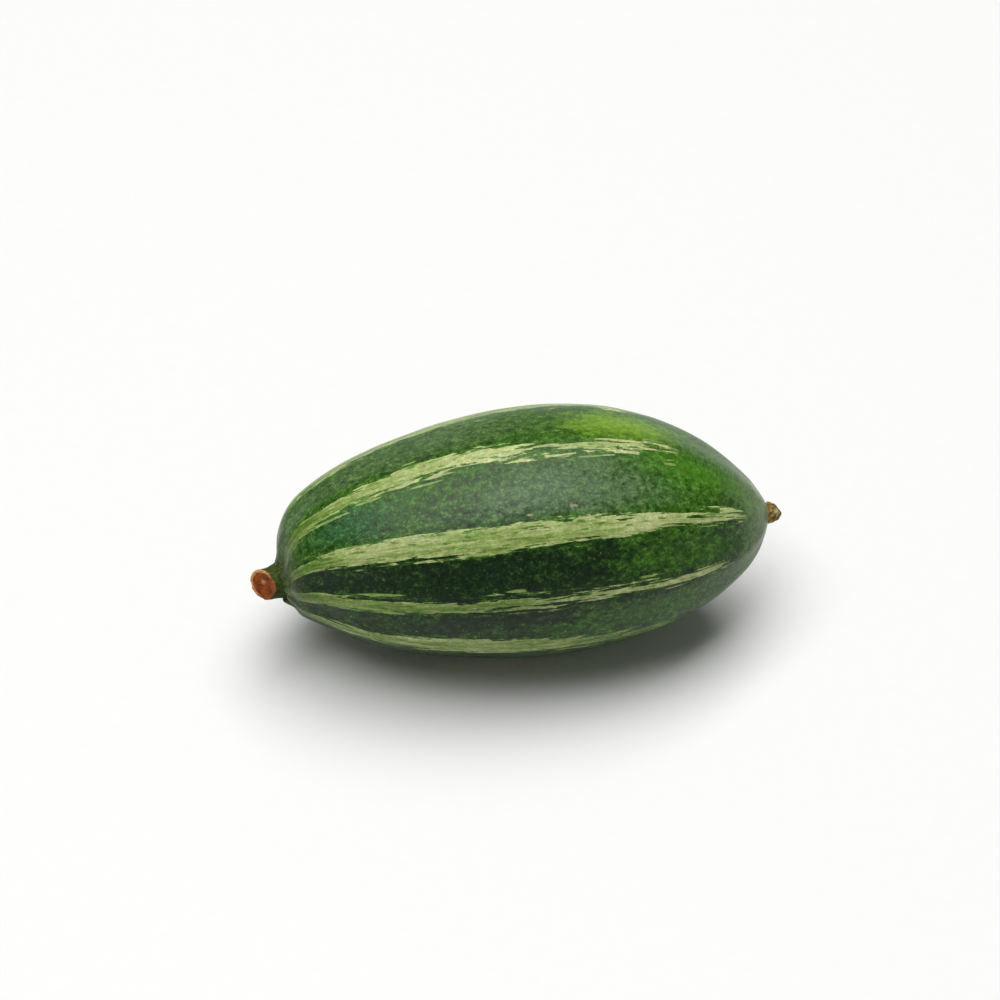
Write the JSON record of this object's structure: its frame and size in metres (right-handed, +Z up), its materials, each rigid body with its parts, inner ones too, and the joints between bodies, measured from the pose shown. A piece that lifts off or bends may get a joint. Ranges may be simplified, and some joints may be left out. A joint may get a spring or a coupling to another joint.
{
  "type": "pointed gourd",
  "caption": "Whole striped pointed gourd as picked, a tapered ribbed fruit with a cut stem stub and a dried blossom scar, lying on its side.",
  "frame": {"origin": "on the surface it lies on, under the middle of its bounding box", "axes": "+Z up from the flat resting spot, +X along the fruit from the stem stub towards the blossom scar, +Y towards its back side"},
  "size_m": [0.0872, 0.04, 0.0401],
  "materials": {
    "green_skin": "smooth waxy living skin, deep green with ten ragged pale green stripes, soft sheen",
    "cut_stem": "olive stem flesh dried to orange brown at the cut end, matt",
    "dried_scar": "dry tan and brown corky remains of the flower, matt"
  },
  "bodies": {
    "root": {"gourd_fruit": "green_skin", "stem_stub": "cut_stem", "blossom_scar": "dried_scar"}
  },
  "joints": []
}
